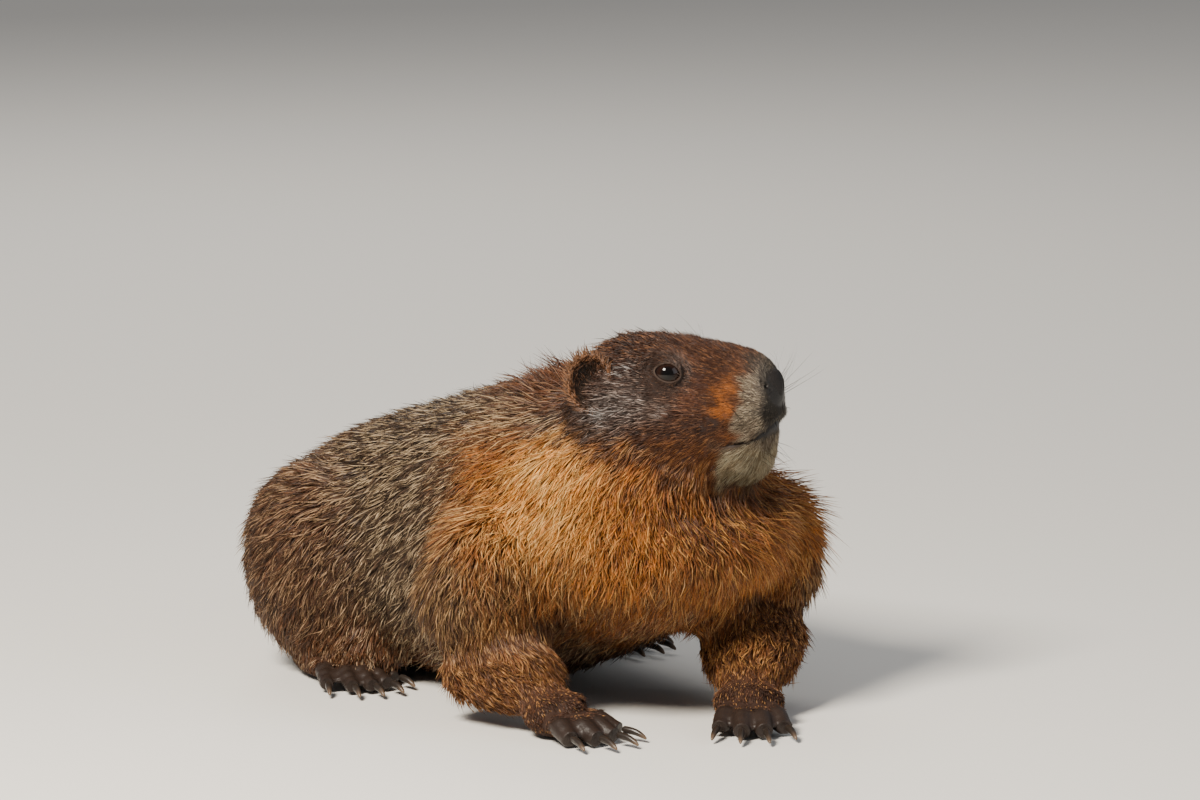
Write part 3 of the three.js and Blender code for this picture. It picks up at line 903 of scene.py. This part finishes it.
head_length = mix(head_length, 2.4, ramp(by_nose, 18, 10))
head_length = mix(head_length, 6.0, chin)
head_length = mix(2.8, head_length, ramp(by_eye, 7, 17))
head_length = mix(head_length, 6.4, is_ear)
head_length = mix(head_length, 4.6, in_ear)
length = mix(length, head_length, head_soft)
length *= 1 + 0.3 * chest + 0.25 * nape
length = mix(length, np.minimum(length, 4.0), np.clip(on_paw * 1.5, 0, 1))
length *= 1 - 0.35 * on_tail * ramp(tail_place, 0.85, 1)
length *= 1 - 0.3 * chest * ramp(z, 62, 40)
length *= 1 - 0.5 * ramp(z, 14, 3) * ramp(facing[:, 2], 0, -0.6)
crown = ramp(rise, 6, 14) * head_soft * ramp(forward, 72, 50)
lift += 6 * nape + 4 * chest + 11 * crown + 14 * ruff + 16 * is_ear * (1 - in_ear)
length += 1.6 * crown + 5 * ruff
thickness = mix(thickness, 0.42, head_soft * ramp(forward, 26, 60))
finest = np.maximum(around_eye, ramp(by_nose, 18, 10))
thickness = mix(thickness, 0.32, head_soft * finest)
thickness = mix(thickness, 0.46, is_ear)
crowd = mix(crowd, 5.0, head_soft * ramp(forward, 28, 58))
crowd = mix(crowd, 3.4, is_ear)
crowd *= 1 - 0.75 * ramp(facing[:, 2], -0.35, -0.8) * ramp(z, 40, 20)
crowd *= 1 - np.clip(is_toe + np.clip(is_lip * 1.5, 0, 1) + bare_nose, 0, 1)
crowd *= 1 - ramp(nostril_dent(forward, aside, rise), 0.02, 0.1) * on_head
crowd[hidden] = 0
guards = mix(0.13, 0.09, head_soft * crown) + 0.1 * nape + 0.12 * ruff
guards = mix(guards, 0.02, head_soft * ramp(forward, 30, 50))
crowd[(is_lid > 0) & (lid_edge < 3)] = 0
near_lid = hill(lid_edge, 4.5, 2.5) * is_lid
crowd *= 1 + 0.4 * near_lid
tail_root = ramp(size_of(points - TAIL_LINE[0]), 52, 26)
crowd *= 1 + 0.7 * tail_root
length = np.maximum(length, 15 * tail_root)
pale_share = mix(0.34, 0.26, on_rump)
for value, strength in (
    (0.25, np.clip(chest, 0, 1)),
    (0.56, np.clip(gold, 0, 1)),
    (0.15, np.clip(nape, 0, 1)),
    (0.3, on_foreleg * (1 - chest)),
    (0.1, np.clip(on_paw * 1.5, 0, 1)),
    (0.12, on_tail),
    (0.14, head_soft),
    (0.22, low_cheek * head_soft),
    (0.42, np.clip(cheek + 0.7 * temple, 0, 1) * head_soft),
    (0.36, muzzle * (1 - snout) * head_soft),
    (0.1, snout * head_soft),
    (0.02, around_eye * head_soft),
):
    pale_share = mix(pale_share, value, strength)

growing = {  # what a lock needs to know of the spot that it grows from
    "place": points,
    "facing": facing,
    "way": way,
    "under": under_tint,
    "tip": tip_tint,
    "length": length,
    "lift": lift,
    "thickness": thickness,
    "pale_share": pale_share,
    "on_head": on_head,
    "on_tail": on_tail,
    "on_foreleg": on_foreleg,
    "on_hind": on_parts("thigh", "shank", "hindfoot"),
    "guards": guards,
    "on_neck": on_parts("neck"),
    "pale": pale_tint,
}
fields = np.column_stack(list(growing.values()))
mesh.calc_loop_triangles()
triangles = np.empty(len(mesh.loop_triangles) * 3, np.int64)
mesh.loop_triangles.foreach_get("vertices", triangles)
triangles = triangles.reshape(-1, 3)
corner = points[triangles]
edges = corner[:, 1] - corner[:, 0], corner[:, 2] - corner[:, 0]
area = size_of(np.cross(*edges)) / 2
want = area * crowd[triangles].mean(axis=1)
want[hidden[triangles].any(axis=1)] = 0
number = np.floor(want + rng.random(len(want))).astype(int)
chosen = np.repeat(np.arange(len(triangles)), number)
a, b = rng.random(len(chosen)), rng.random(len(chosen))
over = a + b > 1
a[over], b[over] = 1 - a[over], 1 - b[over]
part = np.stack([1 - a - b, a, b], axis=1)
blended = np.einsum("nk,nkf->nf", part, fields[triangles[chosen]])
root, column = {}, 0
for name, values in growing.items():
    width = values[0].size
    root[name] = blended[:, column : column + width].squeeze()
    column += width


TIPS_GAP = 0.25  # between the floor and the lowest of the fur


def locks(roots, rings):
    """Three-sided tapering locks as points, faces and colours, one from each root."""
    base, out, run = roots["place"], unit(roots["facing"]), roots["way"]
    count = len(base)
    run = unit(run - out * (run * out).sum(axis=1, keepdims=True))
    across = np.cross(run, out)
    on_face = roots["on_head"] > 0.5
    guard = rng.random(count) < roots["guards"]
    long = roots["length"] * (rng.uniform(0.7, 1.12, count) * np.where(guard, 1.35, 1))
    thick = roots["thickness"] * (rng.uniform(0.75, 1.25, count) * np.where(guard, 0.8, 1))
    lifted = roots["lift"] * rng.uniform(0.55, 1.3, count) * np.where(guard, 1.35, 1)
    tilt = np.radians(lifted)
    in_tuft = np.where(on_face, ripple(base, 4.5, 11), ripple(base, 8.0, 12))
    wander = (in_tuft * 0.2 + rng.normal(0, 0.13, count)) * np.clip(long / 9, 0.4, 1)
    bounce = np.where(on_face, ripple(base, 4.5, 13), ripple(base, 8.0, 14)) * 0.06
    tone = np.exp(rng.normal(0, 0.26, count) + 0.1 * ripple(base, 14.0, 15))[:, None]
    under = roots["under"] * tone
    pale_chance = roots["pale_share"] * (1 + 0.35 * ripple(base, 6.0, 16))
    is_pale = rng.random(count) < pale_chance
    dark = rng.random(count) < 0.22
    end = roots["tip"] * tone
    end = np.where((dark & ~is_pale)[:, None], mix(end, under, 0.75), end)
    pale_end = roots["pale"] * rng.uniform(0.7, 1.1, (count, 1))
    end = np.where(is_pale[:, None], pale_end, end)
    points_out = np.empty((count, rings * 3 + 1, 3))
    colours = np.empty((count, rings * 3 + 1, 3))
    roll = rng.uniform(0, 2 * math.pi, count)
    steps = [0.0, 0.58] if rings == 2 else [0.0]
    shows = [0.0, 0.48, 1.0] if rings == 2 else [0.3, 1.0]  # of the end's colour
    widths = [0.8, 1.0] if rings == 2 else [1.0]
    for ring, t in enumerate([*steps, 1.0]):
        spine = base + run * (long * t * np.cos(tilt))[:, None]
        high = long * np.sin(tilt) * (t - 0.36 * t * t) + bounce * long * t * t
        spine += out * (high - 0.5 * (1 - t))[:, None]
        spine += across * (long * wander * t * t)[:, None]
        # A lock runs from its underfur colour, darkened by 0.85 towards the root as painted
        # shade deep among the hairs, to its end colour at the tip
        colour = mix(under * 0.85, end, shows[ring])
        if ring == rings:
            points_out[:, -1] = spine
            colours[:, -1] = colour
            continue
        half = thick / 2 * widths[ring]
        for k in range(3):
            spin = roll + 2 * math.pi * k / 3
            ridge = across * np.cos(spin)[:, None] + out * np.sin(spin)[:, None]
            points_out[:, ring * 3 + k] = spine + ridge * half[:, None]
            colours[:, ring * 3 + k] = colour
    points_out[:, :, 2] = np.maximum(points_out[:, :, 2], TIPS_GAP)
    faces = []
    for ring in range(rings - 1):
        for k in range(3):
            n = (k + 1) % 3
            faces.append((ring * 3 + k, ring * 3 + n, ring * 3 + 3 + n, ring * 3 + 3 + k))
    for k in range(3):
        faces.append(((rings - 1) * 3 + k, (rings - 1) * 3 + (k + 1) % 3, rings * 3))
    return points_out, faces, colours


def streak(nodes, wires, shader, scale, detail, low, high):
    """The tint as the base colour, darker and lighter by a fine noise."""
    noise = texture(nodes, wires, "TexNoise", Scale=scale, Detail=detail)
    shade = add_node(nodes, "VectorMath", operation="SCALE")
    wires.new(read_tint(nodes), shade.inputs[0])
    wires.new(spread(nodes, wires, noise.outputs["Fac"], low, high), shade.inputs["Scale"])
    wires.new(shade.outputs["Vector"], shader.inputs["Base Color"])


fur_paint, nodes, wires, shader = principled("fur", 0.5, 0.36)
streak(nodes, wires, shader, 900.0, 2.0, 0.72, 1.28)
PATCH = 0.003  # of the bake map's side, one lock's room on it


def coat_piece(name, chosen, rings, middle, axis):
    """One joined mesh of locks. Its bake map unwraps the skin around an axis."""
    roots = {key: values[chosen] for key, values in root.items()}
    points_out, pattern, colours = locks(roots, rings)
    count, each = points_out.shape[:2]
    data = bpy.data.meshes.new(name)
    data.vertices.add(count * each)
    data.vertices.foreach_set("co", (points_out * MM).ravel())
    sizes = [len(f) for f in pattern]
    flat = np.concatenate([np.array(f) for f in pattern])
    loops = (flat[None, :] + (np.arange(count) * each)[:, None]).ravel()
    data.loops.add(len(loops))
    data.loops.foreach_set("vertex_index", loops)
    starts = np.concatenate([[0], np.cumsum(sizes)[:-1]])
    starts = (starts[None, :] + (np.arange(count) * sum(sizes))[:, None]).ravel()
    data.polygons.add(len(starts))
    data.polygons.foreach_set("loop_start", starts)
    data.polygons.foreach_set("loop_total", np.tile(sizes, count))
    data.polygons.foreach_set("use_smooth", np.ones(len(starts), bool))
    add_tint(data, colours.reshape(-1, 3))
    axis = unit(np.array(axis, float))
    level = unit(np.cross(axis, UP if abs(axis[2]) < 0.9 else FORWARD))
    high = np.cross(level, axis)
    away = roots["place"] - middle
    u = away @ axis
    v = np.arctan2(away @ level, away @ high)
    u = PATCH + (1 - 2 * PATCH) * (u - u.min()) / np.ptp(u)
    v = PATCH + (1 - 2 * PATCH) * (v - v.min()) / np.ptp(v)
    levels = np.repeat(np.arange(rings + 1) / rings, [3] * rings + [1])
    slots = np.concatenate([np.tile([-0.5, 0.0, 0.5], rings), [0.0]])
    spots = np.stack(
        [u[:, None] + slots * PATCH, v[:, None] + (levels - 0.5) * PATCH], axis=2
    ).reshape(-1, 2)
    layer = data.uv_layers.new(name="OFBake")
    layer.data.foreach_set("uv", spots[loops].ravel().astype(np.float32))
    data.update()
    data.validate()
    data.materials.append(fur_paint)
    made = placed(name, data)
    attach(made, "root")


BODY_AXIS = UNDER_BODY + 55 * UP
RUMP_FROM, CHEST_FROM = 62, -92  # back along the body
BACK_FACING = 0.55  # how far the back's skin faces up, at least
FACE_FROM = 30  # ahead of the point between the ears
side_of = off_spine(root["place"])
head_rows = root["on_head"] > 0.5
leg_rows = (root["on_foreleg"] > 0.5) & ~head_rows
hind_rows = (root["on_hind"] > 0.5) & ~head_rows
tail_rows = root["on_tail"] > 0.5
rest = ~(head_rows | leg_rows | hind_rows | tail_rows)
neck_rows = rest & (root["on_neck"] > 0.5)
rest &= ~neck_rows
rump_rows = rest & (root["place"][:, 1] > RUMP_FROM)
chest_rows = rest & (root["place"][:, 1] < CHEST_FROM)
rest &= ~(rump_rows | chest_rows)
top_rows = rest & (root["facing"][:, 2] > BACK_FACING)
right_rows = rest & ~top_rows & (side_of < 0)
left_rows = rest & ~top_rows & (side_of >= 0)
face_rows = head_rows & (in_head(root["place"])[0] > FACE_FROM)
COATS = [
    ("coat_face", "coat_head", face_rows, 1, BETWEEN_EARS - 20 * UP, FORWARD),
    ("coat_head", "coat_head", head_rows & ~face_rows, 2, BETWEEN_EARS - 20 * UP, FORWARD),
    ("coat_neck", "coat_neck", neck_rows, 2, BETWEEN_EARS - 30 * UP, UP),
    ("coat_chest", "coat_neck", chest_rows, 2, BODY_AXIS, (0, 1, 0)),
    ("coat_back", "coat_back", top_rows, 2, BODY_AXIS, (0, 1, 0)),
    ("coat_flank_left", "coat_back", left_rows, 2, BODY_AXIS, (0, 1, 0)),
    ("coat_flank_right", "coat_back", right_rows, 2, BODY_AXIS, (0, 1, 0)),
    ("coat_rump", "coat_rump", rump_rows, 2, BODY_AXIS, (0, 1, 0)),
    ("coat_tail", "coat_rump", tail_rows, 2, np.array([40.0, 130.0, 0.0]), UP),
]
for part_name, slot, rows, rings, middle, axis in COATS:
    coat_piece(part_name, rows, rings, middle, axis)
for end, sign in (("left", 1), ("right", -1)):
    fore = leg_rows & (np.sign(side_of) == sign)
    hind = hind_rows & (np.sign(side_of) == sign)
    shoulder = middle_of(f"upper_arm_{end}")
    hip = middle_of(f"thigh_{end}")
    coat_piece(f"coat_foreleg_{end}", fore, 2, shoulder, UP)
    coat_piece(f"coat_hindleg_{end}", hind, 2, hip, UP)

# Eyes: dark brown balls, nearly black, wet and bright. Each sits deep between its lids,
# and only its front shows.
EYE_TINTS = [  # out from the middle of the pupil
    (0.0, (0.002, 0.002, 0.002)),
    (2.8, (0.003, 0.002, 0.002)),
    (3.4, (0.013, 0.0055, 0.003)),
    (4.6, (0.01, 0.004, 0.0025)),
    (5.4, (0.004, 0.003, 0.003)),
    (9.0, (0.004, 0.003, 0.003)),
]
eye_paint, nodes, wires, shader = principled("eye", 0.08, 0.26)
wires.new(read_tint(nodes), shader.inputs["Base Color"])


def add_piece(name, data, material, nodes_replaced):
    data.materials.append(material)
    data.polygons.foreach_set("use_smooth", [True] * len(data.polygons))
    made = placed(name, data)
    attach(made, "root")
    if nodes_replaced:
        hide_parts(*nodes_replaced)


for end, sign, eye in (("left", 1, left_eye), ("right", -1, right_eye)):
    gaze = gaze_of(sign)
    ball = bmesh.new()
    bmesh.ops.create_uvsphere(ball, u_segments=40, v_segments=26, radius=EYE_RADIUS * MM)
    turn = Vector(gaze).to_track_quat("Z", "Y").to_matrix().to_4x4()
    bmesh.ops.transform(ball, matrix=turn, verts=ball.verts)
    bmesh.ops.translate(ball, vec=Vector(eye * MM), verts=ball.verts)
    data = bpy.data.meshes.new(f"eyeball_{end}")
    ball.to_mesh(data)
    ball.free()
    spots = read(data)[0] - eye
    from_axis = size_of(np.cross(spots, gaze)) + 20 * (spots @ gaze < 0)
    reach, tints = zip(*EYE_TINTS)
    add_tint(data, np.stack([np.interp(from_axis, reach, tone) for tone in zip(*tints)], axis=1))
    add_piece(f"eyeball_{end}", data, eye_paint, [f"eye_{end}"])

# Nose: a bare, black, finely pebbled pad with a comma-shaped nostril in each side and a
# shallow groove down its middle
def rounded(nodes_in, levels):
    """Copies of CAD nodes, joined, merged and rounded off."""
    rough_form = joined_nodes({node: 0 for node in nodes_in})
    return modified(rough_form, "SUBSURF", levels=levels, render_levels=levels)


pad = rounded(["nose"], 3)
spots, pad_links, pad_degree = read(pad)
outward = facing_of(pad, pad_links, pad_degree, 1)
pad_f, pad_s, pad_r = in_head(spots)
dent = nostril_dent(pad_f, np.abs(pad_s), pad_r)
FLAT_FROM = 75.0  # ahead of here the pad's front is pressed flatter
spots -= FORWARD * (0.3 * np.maximum(pad_f - FLAT_FROM, 0))[:, None]
spots -= SIDE * (0.12 * pad_s * ramp(pad_r, 2, -8))[:, None]
spots += outward * (0.2 - dent - 0.8 * hill(pad_s, 0, 0.7) * ramp(pad_r, 3, -3))[:, None]
write(pad, spots)
# The nostril dents are painted darker than the pad's black skin: painted shade inside the
# openings
NOSTRIL_SHADE_BLACK = np.array([0.002, 0.0015, 0.0015])
add_tint(pad, mix(np.array(BARE_BLACK), NOSTRIL_SHADE_BLACK, ramp(dent, 0.3, 1.4)[:, None]))
nose_paint, nodes, wires, shader = principled("nose", 0.62, 0.22)
wires.new(read_tint(nodes), shader.inputs["Base Color"])
pebble(nodes, wires, shader, 1400.0, 0.6)
add_piece("nose_pad", pad, nose_paint, ["nose"])

# Claws: long, slightly curved digging claws of dark horn, growing from the toes. They
# are blackish at the root and a little paler and browner at the worn points.
HORN_ROOT, HORN_POINT = np.array([0.02, 0.015, 0.012]), np.array([0.12, 0.075, 0.045])
horn_paint, nodes, wires, shader = principled("horn", 0.32, 0.45)
streak(nodes, wires, shader, 700.0, 3.0, 0.6, 1.4)
for limb in ("fore", "hind"):
    for end in ("left", "right"):
        mine = [n for n in claws if n.startswith(f"claw_{limb}_{end}")]
        horn = rounded(mine, 2)
        spots = read(horn)[0]
        to_point = np.min([size_of(spots - claw_line(n)[1]) for n in mine], axis=0)
        pale_tip = ramp(to_point, 6, 0)[:, None]
        add_tint(horn, mix(HORN_ROOT, HORN_POINT, pale_tip))
        add_piece(f"claws_{limb}_{end}", horn, horn_paint, mine)

# Whiskers: stiff dark bristles that grow from the pads beside the nose, with a few above
# the eyes and under the chin. They are the longest and stiffest of its hairs.
WHISKER_STEPS = 9
WHISKER_BEDS = [  # how many a side, where on the head, spread, length, way out, thickness
    (16, (71, 17, -10), (4.5, 2, 6.5), (24, 44), (0.15, 1.0, 0.35), 0.16),
    (5, (77, 12, -4), (2, 2, 3), (20, 30), (0.5, 0.8, 0.8), 0.14),
    (4, (38, 24, 14), (3, 2, 1.5), (10, 15), (-0.1, 0.5, 1.0), 0.13),
    (5, (74, 8, -32), (3, 4, 4), (10, 20), (0.8, 0.5, -0.5), 0.13),
]
whisker_points, whisker_faces = [], []
skin_tree = BVHTree.FromPolygons([Vector(p) for p in points * MM], faces)
for sign in (1, -1):
    for count, place_at, spread_of, lengths, out_way, thick in WHISKER_BEDS:
        for _ in range(count):
            f, s, r = np.array(place_at) + np.array(spread_of) * rng.uniform(-1, 1, 3)
            start = BETWEEN_EARS + f * FORWARD + sign * s * SIDE + r * UP
            start = np.array(skin_tree.find_nearest(Vector(start * MM))[0]) / MM
            f, s, r = np.array(out_way) + rng.normal(0, 0.22, 3)
            aim_way = unit(f * FORWARD + sign * s * SIDE + r * UP)
            bend = -0.35 * FORWARD - 0.1 * UP + rng.normal(0, 0.08, 3)
            long = rng.uniform(*lengths)
            first = len(whisker_points)
            for step in range(WHISKER_STEPS):
                t = step / (WHISKER_STEPS - 1)
                spine = start + aim_way * (long * t - 0.8) + bend * (long * t * t * 0.5)
                width = thick * (1 - 0.85 * t)
                for k in range(3):
                    spin = 2 * math.pi * k / 3
                    ridge = SIDE * math.cos(spin) + UP * math.sin(spin)
                    whisker_points.append(spine + ridge * width)
            for step in range(WHISKER_STEPS - 1):
                for k in range(3):
                    a, b = first + step * 3 + k, first + step * 3 + (k + 1) % 3
                    whisker_faces.append((a, b, b + 3, a + 3))
data = bpy.data.meshes.new("whiskers")
data.from_pydata([tuple(p) for p in np.array(whisker_points) * MM], [], whisker_faces)
bristle_paint, nodes, wires, shader = principled("bristle", 0.6, 0.12)
shader.inputs["Base Color"].default_value = (0.012, 0.009, 0.007, 1)
add_piece("whiskers", data, bristle_paint, [])

# Floor, light and camera: a plain pale floor, soft light from the animal's right, and
# the camera at the photo's angle, low and far off.
floor_mesh = bpy.data.meshes.new("floor")
grid = bmesh.new()
bmesh.ops.create_grid(grid, x_segments=1, y_segments=1, size=6)
grid.to_mesh(floor_mesh)
grid.free()
floor = placed("floor", floor_mesh)
floor_paint, nodes, wires, shader = principled("floor", 0.9)
shader.inputs["Base Color"].default_value = (0.72, 0.7, 0.66, 1)
floor_mesh.materials.append(floor_paint)

CAMERA_TURN = math.radians(-37.4)
CAMERA_RISE = math.radians(9.9)
CAMERA_AWAY = 4.5
AIM_ACROSS, AIM_UP = 0.0321, 0.1286  # in the picture, from the spot under the body
LENS, SENSOR = 297, 36
across = Vector((math.cos(CAMERA_TURN), math.sin(CAMERA_TURN), 0))
back = Vector(
    (
        math.sin(CAMERA_TURN) * math.cos(CAMERA_RISE),
        -math.cos(CAMERA_TURN) * math.cos(CAMERA_RISE),
        math.sin(CAMERA_RISE),
    )
)
above = back.cross(across)
aim = Vector(UNDER_BODY * MM) + across * AIM_ACROSS + above * AIM_UP
camera_data = bpy.data.cameras.new("camera")
camera_data.lens = LENS
camera_data.sensor_width = SENSOR
camera_data.clip_end = 50
camera = placed("camera", camera_data)
camera.location = aim + back * CAMERA_AWAY
camera.rotation_euler = back.to_track_quat("Z", "Y").to_euler()
bpy.context.scene.camera = camera


LIT_FROM = 0.08  # the height that the lamps point at
LAMPS = [  # name, way to it, distance, size, power and colour
    ("key", (-1.0, -0.45, 0.95), 1.6, 0.4, 66, (1.0, 0.92, 0.8)),
    ("fill", (0.6, -1.0, 0.5), 1.8, 1.2, 9, (0.9, 0.95, 1.0)),
    ("rim", (0.5, 1.0, 0.8), 1.8, 1.0, 12, (1.0, 0.96, 0.9)),
]
for name, lamp_way, away, size, power, tint in LAMPS:
    light = bpy.data.lights.new(name, "AREA")
    light.size = size
    light.energy = power
    light.color = tint
    lamp = placed(name, light)
    lamp_way = Vector(lamp_way).normalized()
    lamp.location = Vector((0, 0, LIT_FROM)) + lamp_way * away
    lamp.rotation_euler = lamp_way.to_track_quat("Z", "Y").to_euler()
world = bpy.data.worlds.new("studio")
world.use_nodes = True
sky = world.node_tree.nodes["Background"]
sky.inputs["Color"].default_value = (0.9, 0.93, 1.0, 1)
sky.inputs["Strength"].default_value = 0.24
bpy.context.scene.world = world
